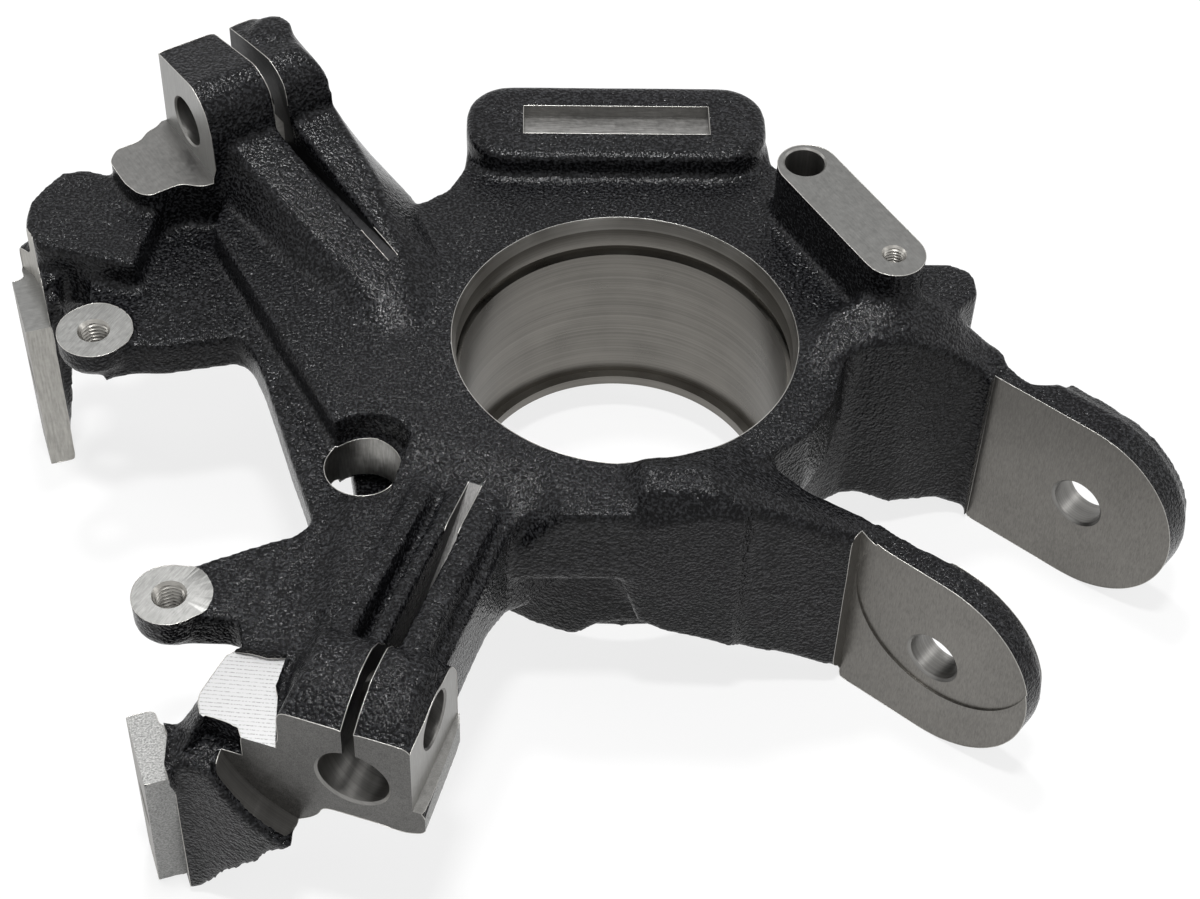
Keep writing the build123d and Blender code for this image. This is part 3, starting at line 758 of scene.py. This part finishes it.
# ---------------------------------------------------------------- the blank
blank = bare_copy(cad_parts["knuckle"])
stock = [
    stock_on("stock_sensor", blank, (0, 0, SENSOR_TOP), (0, 0, 1)),
    stock_on("stock_fork_far", blank, (*fork_at(0, 0), 0), TO_NEAR),
    stock_on("stock_fork_near", blank, (*fork_at(0, FORK_SPAN), 0), TO_NEAR),
    stock_on("stock_fork_step", blank, (*fork_at(0, FORK_SPAN - FORK_STEP), 0), TO_NEAR),
    stock_on("stock_fork_inner", blank, (*fork_at(0, NEAR_INNER), 0), TO_FAR),
    stock_on("stock_fork_spot", blank, (*fork_at(0, -FORK_EAR_FAR), 0), TO_FAR),
    stock_on("stock_low_front", blank, (*low(0, 0), 0), minus(LOW_IN)),
    stock_on("stock_low_right", blank, (*low(0, LOW_W), 0), LOW_RIGHT),
    stock_on("stock_up_front", blank, (*up(0, 0), 0), minus(UP_IN)),
    stock_on("stock_up_side", blank, (*up(0, 0), 0), UP_SIDE),
    stock_on("stock_ears", blank, (*ear_at(EAR_FACE, 0), 0), EAR_OUT),
    stock_on(
        "stock_ear_far_end", blank, (*ear_at(EAR_FACE, -EAR_INNER), 0), (*unit(EAR_AZ + 90), 0)
    ),
    stock_on("stock_facets", blank, (0, 0, EAR_FACET), (0, 0, 1), lambda c: c.x < -100),
]
LOW_LEDGE = [
    low(0.2, -0.8), low(12.9, -5.7), low(15.4, -7.3), low(24.8, -8.5), (-83.4, -100.2),
    (-88.0, -100.2), (-92.0, -98.9), (-97.2, -98.0), (-103.3, -109.8), (-103.9, -113.1),
    (-102.2, -116.3), (-94.7, -119.4), (-92.8, -123.2),
]
UP_LEDGE = [
    up(1.0, 0.5), up(2.0, -7.2), up(4.6, -10.3), up(4.5, -17.9), up(8.2, -21.5),
    up(18.7, -21.9), up(24.1, -20.7), up(26.6, -18.3), up(26.5, -8.9), up(30.6, -4.5),
    up(31.0, 0.5),
]
# ribs of the lower arm run on to the flat below the hub; the ramp beside them slopes
RIB_END = [(70.0, 28.0), (70.0, 34.9), (86.0, 33.2), (90.0, 28.0)]
for left, right in ((1.8, 7.7), (11.1, 19.0), (18.4, 26.0)):
    stock.append(section("rib_end", low(0, 0), LOW_AZ, RIB_END, -right, -left))
RAMP = [(-70.2, -51.5), (-72.2, -71.5), (-75.0, -88.0)]
RAMP_PROFILE = [(1.0, 30.5), (-5.5, 26.9), (1.0, 24.0)]
RAMP_FACES = [(0, 1, 2), (3, 4, 5), (0, 1, 4, 3), (1, 2, 5, 4), (2, 0, 3, 5)]
for ends in zip(RAMP, RAMP[1:]):
    corners = [(x + dx, y, z) for x, y in ends for dx, z in RAMP_PROFILE]
    stock.append(body_from("ramp_side", corners, RAMP_FACES, ["coat"] * 5))
stock.append(slab("stock_low_ledge", LOW_LEDGE, LOW_LEDGE_Z - 2.0, LOW_LEDGE_Z + STOCK))
stock.append(slab("stock_up_ledge", UP_LEDGE, UP_LEDGE_Z - 2.0, UP_LEDGE_Z + STOCK))
for index, (x, y, face, _) in enumerate(M8_BOSSES):
    stock.append(stock_on("stock_m8_%d" % index, blank, (0, 0, face), (0, 0, 1)))

plugs = [
    plug("plug_bore", (0, 0, HUB_TOP), DOWN, 49.0, HUB_TOP - HUB_BOTTOM, 0.0),
    slab("plug_recess", [(-28, 71.5), (27, 71.5), (27, 85.5), (-28, 85.5)], 38.0, PAD_TOP),
    plug("plug_sensor", (*sensor_hole, SENSOR_TOP), DOWN, 6.3, 42.0),
    plug("plug_screw", (*sensor_screw, SENSOR_TOP), DOWN, 4.0, 22.0),
    plug("plug_fork_far", (*fork_at(0, -FORK_EAR_FAR), FORK_Z), TO_NEAR, 8.0, FORK_EAR_FAR + STOCK),
    plug("plug_fork_near", (*fork_at(0, FORK_SPAN), FORK_Z), TO_FAR, 8.0, FORK_EAR_NEAR + STOCK),
    plug("plug_web", (*WEB_HOLE, 26.5), DOWN, 10.8, 10.9, 0.0),
    plug("plug_low_stud", low_stud, LOW_IN, 10.0, 28.0),
    plug("plug_low_pinch", low_pinch, minus(LOW_RIGHT), 8.0, 30.0),
    plug("plug_up_stud", up_stud, UP_IN, 10.0, 27.0),
    plug("plug_up_pinch", up_pinch, minus(UP_SIDE), 8.0, 34.0),
    plug("plug_ear_near", ear_near, minus(EAR_OUT), 6.1, 21.0),
    plug("plug_ear_far", ear_far, minus(EAR_OUT), 6.1, EAR_PLATE),
    slab("plug_low_slot", [
        low(0, 15.0), low(0, 20.4), low(24.0, 19.4), low(24.0, 15.4)
    ], 22.0, 39.5),
    section("plug_low_slot_top", low(0, 0), LOW_AZ, [
        (0, 39.0), (0, 40.2), (3.0, 42.4), (8.0, 44.6), (14.0, 45.6), (20.0, 45.2),
        (24.6, 43.6), (27.5, 38.0), (24, 36),
    ], -20.6, -15.0),
    slab("plug_up_slot", [up(0, 16.5), up(0, 22.5), up(28, 24.6), up(28, 18.5)], 41.5, 60.0),
    section("plug_up_slot_top", up(0, 0), UP_AZ, [
        (0, 59), (0, 65.8), (20.7, 68.4), (25.0, 66.6), (28.2, 63.4), (28.2, 59)
    ], 16.8, 23.5),
]
for index, (x, y, face, under) in enumerate(M8_BOSSES):
    plugs.append(plug("plug_m8_%d" % index, (x, y, face), DOWN, 4.6, face - under))

join(blank, stock + plugs)
apply_modifier(blank, "REMESH", mode="VOXEL", voxel_size=VOXEL * MM, adaptivity=0.0)
soften(blank, EVEN_PASSES, HOLLOW_PASSES, LAST_PASSES)
ripple(blank, RIPPLE)
triangles = 2 * len(blank.data.polygons)
if triangles > BLANK_TRIANGLES:
    apply_modifier(blank, "DECIMATE", ratio=BLANK_TRIANGLES / triangles)
give_finishes(blank.data)


# ---------------------------------------------------------------- cuts
def tapered(name, origin, az, profile, left, right, finish):
    """Saw cut with an (along, height) profile between two offsets that change along its run."""
    sides = []
    for offset in (left, right):
        for s, z in profile:
            d = offset[0] + (offset[1] - offset[0]) * (s - profile[0][0]) / SLOT_RUN
            sides.append((*local(origin, az, s, d), z))
    n = len(profile)
    return body_from(name, sides, prism_faces(n), ["slot_wall"] * 2 + [finish] * n)


def ears(points):
    return [ear_at(n, t) for n, t in points]


# the bore's chamfer cones take the lighter rim finish, a painted highlight
RIM_AT = (HUB_TOP - RIM_DEPTH, HUB_TOP, LIP_Z[0])
cuts = [
    slab("cut_sensor", [
        local(SENSOR_ORIGIN, SENSOR_AZ, a, b) for a, b in ((-8, -6), (64, -6), (64, 23), (-8, 23))
    ], SENSOR_TOP, 62.0, "sensor_face"),
    slab("cut_fork_gap", [
        fork_at(FORK_BACK_FAR, 0), fork_at(FORK_REACH, 0), fork_at(FORK_REACH, NEAR_INNER),
        fork_at(FORK_BACK_NEAR, NEAR_INNER),
    ], FORK_Z0, FORK_Z1, "coat", ["faced", "coat", "faced", "coat"]),
    slab("cut_fork_near", [
        fork_at(FORK_BACK_NEAR, FORK_SPAN), fork_at(FORK_REACH, FORK_SPAN),
        fork_at(FORK_REACH, FORK_SPAN + 9), fork_at(FORK_BACK_NEAR, FORK_SPAN + 9),
    ], FORK_Z0, FORK_Z1, "coat", "faced"),
    drill(
        "cut_fork_zone", (*fork_at(1.5, FORK_SPAN), FORK_Z + 15.0), TO_FAR,
        FORK_ZONE_R, FORK_STEP, "faced", steps=128,
    ),
    drill(
        "cut_fork_spot", (*fork_at(0, -FORK_EAR_FAR), FORK_Z), TO_NEAR,
        FORK_SPOT_R, FORK_EAR_FAR - FORK_SPOT_LEFT, "faced", steps=96,
    ),
    slab("cut_ears", ears([
        (EAR_FACE, -115), (EAR_FACE + 10, -115), (EAR_FACE + 10, 115), (EAR_FACE, 115)
    ]), -50.0, 50.0, "coat", "faced"),
    section("cut_ear_near_end", ear_at(EAR_FACE, 0), EAR_AZ + 90, [
        (88.8, 16.0), (80.3, -38.0), (78.5, -50.0), (96.0, -50.0), (96.0, 22.0), (89.7, 22.0)
    ], -6.0, EAR_PLATE, "skin", "skin", "skin"),
    section("cut_low_right", low(0, 0), LOW_AZ, [
        (-8, LOW_STEP_Z), (31, LOW_STEP_Z), (31, 52), (-8, 52)
    ], -LOW_W - 9, -LOW_W, "low_side", "low_side", "low_side"),
    slab("cut_low_step", [
        low(-4, 36.3), low(18, 35.2), low(27.5, 34.5), low(31, 33.0), low(31, 44), low(-4, 44)
    ], -2.0, LOW_STEP_Z, "skin", "skin"),
    slab("cut_low_ledge", [
        low(-9, 0.5), low(0.2, -0.8), low(12.9, -5.7), low(15.4, -7.3), low(24.8, -8.5),
        (-83.4, -100.2), (-88.0, -100.2), (-92.0, -98.9), (-97.2, -98.0), (-100.0, -98.0),
        (-106.2, -110.0), (-106.8, -113.6), (-103.8, -118.6), (-97.0, -121.6), low(-9, -12),
    ], LOW_LEDGE_Z, 34.0, "low_ledge"),
    drill(
        "cut_low_arc", (*low(*ARC_AT), ARC_Z), LOW_IN, ARC_R, -ARC_AT[0], "swept",
        steps=192, end="clamp_front",
    ),
    slab("cut_pocket", [
        low(-20, -10), low(0.3, -9.8), low(2.4, -11.4), low(2.8, -14.9), low(3.1, -20.1),
        low(-3, -23), low(-20, -26),
    ], POCKET_Z, 30.0, "coat", "coat"),
    slab(
        "cut_up_front", [up(0, -4), up(-7, -4), up(-7, 46), up(0, 46)], 20.0, 80.0,
        "coat", "clamp_front",
    ),
    slab("cut_up_side", [
        up(-8, 0), up(31.0, 0), up(31.0, -5.0), up(27.5, -9.4), up(27.6, -18.6),
        up(24.6, -22.0), up(18.8, -24), up(-8, -24),
    ], UP_LEDGE_Z, 80.0, "up_ledge", "clamp_side"),
    slab("cut_far_facet", ears([
        (152.0, -65.0), (142.8, -65.0), (142.5, -72.5), (142.2, -83.6), (143.4, -89.8),
        (145.7, -93.9), (152.0, -95.0),
    ]), EAR_FACET, 40.0, "facet", "ear_end"),
    slab("cut_near_facet", ears([
        (152.0, 66.0), (142.6, 66.0), (142.6, 68.1), (141.5, 71.0), (141.6, 74.6),
        (141.3, 76.9), (144.0, 86.0), (143.5, 92.0), (152.0, 92.0),
    ]), EAR_FACET, 40.0, "skin", "coat"),
    slab("cut_ear_far_end", ears([
        (EAR_FACE + 4, -EAR_INNER), (EAR_FACE + 4, -EAR_INNER + 6),
        (EAR_FACE - EAR_PLATE - 1.0, -EAR_INNER + 6), (EAR_FACE - EAR_PLATE - 1.0, -EAR_INNER),
    ]), -50.0, 16.1, "coat", "ear_end"),
    turned("cut_bore", (0, 0, 0), (0, 0, 1), [
        (radius, z, "rim_cut_painted_highlight" if z in RIM_AT else "bored") for radius, z in (
            (0, -60), (LIP_R + LIP_FLARE, -60), (LIP_R + LIP_FLARE, LIP_Z[0]), (LIP_R, LIP_Z[1]),
            (LIP_R, SEAT_BOTTOM), (SEAT_R, SEAT_BOTTOM), (SEAT_R, GROOVE_Z[0]),
            (GROOVE_R, GROOVE_Z[0]), (GROOVE_R, GROOVE_Z[1]), (LEAD_R, GROOVE_Z[1]),
            (LEAD_R, HUB_TOP - RIM_DEPTH), (RIM_R, HUB_TOP), (RIM_R + 1.5, HUB_TOP + 4),
            (RIM_R + 3, 80), (0, 80),
        )
    ], 192),
    slab("cut_recess", [
        (RECESS_AT[0] + x * RECESS_SIZE[0] / 2, RECESS_AT[1] + y * RECESS_SIZE[1] / 2)
        for x, y in ((-1, -1), (1, -1), (1, 1), (-1, 1))
    ], PAD_TOP - RECESS_DEPTH, 60.0, "recessed", "recessed"),
    drill(
        "cut_sensor_hole", (*sensor_hole, SENSOR_TOP), DOWN, SENSOR_HOLE_R, SENSOR_HOLE_DEPTH,
        mouth=0.5,
    ),
    tap("cut_sensor_screw", (*sensor_screw, SENSOR_TOP), DOWN, M6, SENSOR_SCREW_DEPTH),
    drill(
        "cut_fork_far_hole", (*fork_at(0, 0), FORK_Z), TO_FAR, FORK_HOLE_R, 20.0, mouth=0.7
    ),
    drill(
        "cut_fork_near_hole", (*fork_at(0, FORK_SPAN - FORK_STEP), FORK_Z), TO_FAR,
        FORK_HOLE_R, 20.0, mouth=0.7,
    ),
    drill(
        "cut_web_hole", (*WEB_HOLE, WEB_HOLE_TOP), DOWN, WEB_HOLE_R, WEB_HOLE_DEPTH,
        "web_drilled", steps=96, lead=0.0,
    ),
    drill("cut_low_stud", low_stud, LOW_IN, STUD_R, LOW_STUD_DEPTH, mouth=0.6, steps=96),
    drill(
        "cut_low_pinch", low_pinch, minus(LOW_RIGHT), PINCH_R, LOW_PINCH_DEPTH,
        mouth=0.5, pointed=True,
    ),
    tapered("cut_low_slot", low(0, 0), LOW_AZ, [
        (-6.0, 22.3), (36.0, 22.3), (52.0, 23.5), (66.0, 26.5), (79.0, 30.0), (90.0, 35.0),
        (90.0, 60.0), (-6.0, 60.0),
    ], (-16.2, -15.0), (-19.4, -18.6), "slotted"),
    drill("cut_up_stud", up_stud, UP_IN, STUD_R, UP_STUD_DEPTH, mouth=0.6, steps=96),
    drill(
        "cut_up_pinch", up_pinch, minus(UP_SIDE), PINCH_R, UP_PINCH_DEPTH,
        mouth=0.5, pointed=True,
    ),
    slab(
        "cut_up_slot", [up(-5, 16.4), up(-5, 21.5), up(84, 28.2), up(84, 25.0)], 41.5, 80.0,
        "slot_wall", ["clamp_side", "slot_wall", "slot_wall", "slot_wall"],
    ),
    drill(
        "cut_ear_near", ear_near, minus(EAR_OUT), EAR_HOLE_R, 20.0, mouth=0.5, pointed=True
    ),
    drill("cut_ear_far", ear_far, minus(EAR_OUT), EAR_HOLE_R, 30.0, mouth=0.5, pointed=True),
]
for index, (x, y, face, under) in enumerate(M8_BOSSES):
    cuts.append(drill(
        "cut_m8_face_%d" % index, (x, y, face + 6.0), DOWN, M8_FACE_R, 6.0, "spotted"
    ))
    cuts.append(tap("cut_m8_%d" % index, (x, y, face), DOWN, M8, face - under + 3.0))

for cutter in cuts:
    apply_modifier(blank, "BOOLEAN", object=cutter, operation="DIFFERENCE", solver="MANIFOLD")
    bpy.data.objects.remove(cutter)


# ---------------------------------------------------------------- machined edges
def edge_tree():
    """Node group: a fine bead along every sharp edge between coat and bare iron."""
    tree, keys, given = node_group("machined_edges", (
        ("Bead radius", "Float"), ("Least angle", "Float"), ("Finish", "Material"),
    ))
    index = tree.nodes.new("GeometryNodeInputMaterialIndex").outputs[0]
    bare = maths(tree, "MINIMUM", index, 1.0)
    held = tree.nodes.new("GeometryNodeCaptureAttribute")
    held.domain = "FACE"
    held.capture_items.new("FLOAT", "bare")
    feed(tree, held, {"Geometry": given["Geometry"], "bare": bare})
    # on an edge the share is 0 within the coat, 1 within bare iron and a half where they meet
    share = held.outputs["bare"]
    over, under = maths(tree, "GREATER_THAN", share, 0.25), maths(tree, "LESS_THAN", share, 0.75)
    bend = tree.nodes.new("GeometryNodeInputMeshEdgeAngle").outputs["Unsigned Angle"]
    sharp = maths(tree, "GREATER_THAN", bend, given["Least angle"])
    chosen = maths(tree, "MULTIPLY", maths(tree, "MULTIPLY", over, under), sharp)
    path = add(
        tree, "GeometryNodeMeshToCurve", Mesh=held.outputs["Geometry"], Selection=chosen
    ).outputs[0]
    ring = add(
        tree, "GeometryNodeCurvePrimitiveCircle", Resolution=6, Radius=given["Bead radius"]
    ).outputs[0]
    bead = add(
        tree, "GeometryNodeCurveToMesh", Curve=path, **{"Profile Curve": ring, "Fill Caps": True}
    ).outputs[0]
    close_group(tree, bead, given["Finish"])
    return tree, keys


def edge_beads(body, radius, least, finish):
    """Raised edge that the cutters leave all round their faces."""
    holder = put("machined_edges", body.data.copy())
    mesh = grow(holder, edge_tree(), {
        "Bead radius": radius * MM, "Least angle": radians(least), "Finish": finish,
    })
    mesh.shade_smooth()
    keep_inside(holder, PACKED_BOX)
    return holder


keep_inside(blank, PACKED_BOX)
# the beads take the lighter rim finish, a painted highlight along the cut edges
beads = edge_beads(blank, BEAD_R, BEAD_ANGLE, FINISH_OF["rim_cut_painted_highlight"])
blank.data.shade_smooth()
rounded = {FINISHES.index(finish) for finish in ROUND_FINISHES}
for polygon in blank.data.polygons:
    polygon.use_smooth = polygon.material_index in rounded
blank.data.set_sharp_from_angle(angle=radians(SHARP_ANGLE))
for piece in (blank, beads):
    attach(piece, "root")
    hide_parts("knuckle")


# ---------------------------------------------------------------- floor, light and camera
FLOOR_HALF, PAPER_GLOW, WORLD_LIGHT = 4, 0.8, 0.4
# name, place, size in metres and power in watts; every lamp looks at the bore
LAMPS = (
    ("back_softbox", (-0.1, 0.3, 1.2), (0.16, 0.12), 8.5),
    ("front_softbox", (-0.05, -0.24, 1.2), (0.17, 0.1), 9.0),
    ("left_softbox", (-1.1, 0.35, 0.75), (0.4, 0.4), 2.5),
    ("right_softbox", (1.1, 0.1, 0.8), (0.4, 0.4), 2.5),
)
CAMERA_AT, CAMERA_LENS, CAMERA_SENSOR = Vector((-0.02963, -0.46743, 0.50569)), 74.99, 36.0
CAMERA_TURNS = (2.9748, 47.7331, 2.4132)


def floor_finish():
    """White paper: it shows white itself and keeps a soft shadow."""
    finish, tree, shader, _ = new_finish("white_paper")
    feed(tree, shader, {
        "Base Color": (0.86, 0.86, 0.86, 1), "Roughness": 0.9, "Specular IOR Level": 0.0,
    })
    glow = add(tree, "ShaderNodeEmission", Color=(1, 1, 1, 1), Strength=1.0)
    share = maths(tree, "MULTIPLY", seen_directly(tree), PAPER_GLOW)
    mix = add(
        tree, "ShaderNodeMixShader", i0=share, i1=shader.outputs[0], i2=glow.outputs[0]
    )
    out = [n for n in tree.nodes if n.bl_idname == "ShaderNodeOutputMaterial"][0]
    tree.links.new(mix.outputs[0], out.inputs[0])
    return finish


floor_mesh = bpy.data.meshes.new("floor")
floor_mesh.from_pydata([
    (x * FLOOR_HALF, y * FLOOR_HALF, EAR_BOTTOM * MM)
    for x, y in ((-1, -1), (1, -1), (1, 1), (-1, 1))
], [], [(0, 1, 2, 3)])
floor_mesh.materials.append(floor_finish())
floor = put("floor", floor_mesh)

for name, place, size, power in LAMPS:
    light = bpy.data.lights.new(name, "AREA")
    light.shape = "RECTANGLE"
    light.size, light.size_y = size
    light.energy = power
    holder = put(name, light)
    holder.location = place
    holder.rotation_euler = (-Vector(place)).to_track_quat("-Z", "Y").to_euler()

world = bpy.data.worlds.new("studio")
world.use_nodes = True
bpy.context.scene.world = world
studio = world.node_tree
strength = span(studio, seen_directly(studio), 0, 1, WORLD_LIGHT, 1.0)
feed(studio, studio.nodes["Background"], {"i0": (1, 1, 1, 1), "i1": strength})

azimuth, pitch, roll = (radians(turn) for turn in CAMERA_TURNS)
ahead = Vector((sin(azimuth) * cos(pitch), cos(azimuth) * cos(pitch), -sin(pitch)))
right = Vector((cos(azimuth), -sin(azimuth), 0))
over = right.cross(ahead)
across = cos(roll) * right + sin(roll) * over
above = -sin(roll) * right + cos(roll) * over
lens = bpy.data.cameras.new("camera")
lens.lens = CAMERA_LENS
lens.sensor_width = CAMERA_SENSOR
lens.sensor_fit = "HORIZONTAL"
camera = put("camera", lens)
facing = Matrix((across, above, -ahead)).transposed().to_4x4()
camera.matrix_world = Matrix.Translation(CAMERA_AT) @ facing
bpy.context.scene.camera = camera
bpy.context.scene.view_settings.view_transform = "Standard"

bpy.context.view_layer.update()
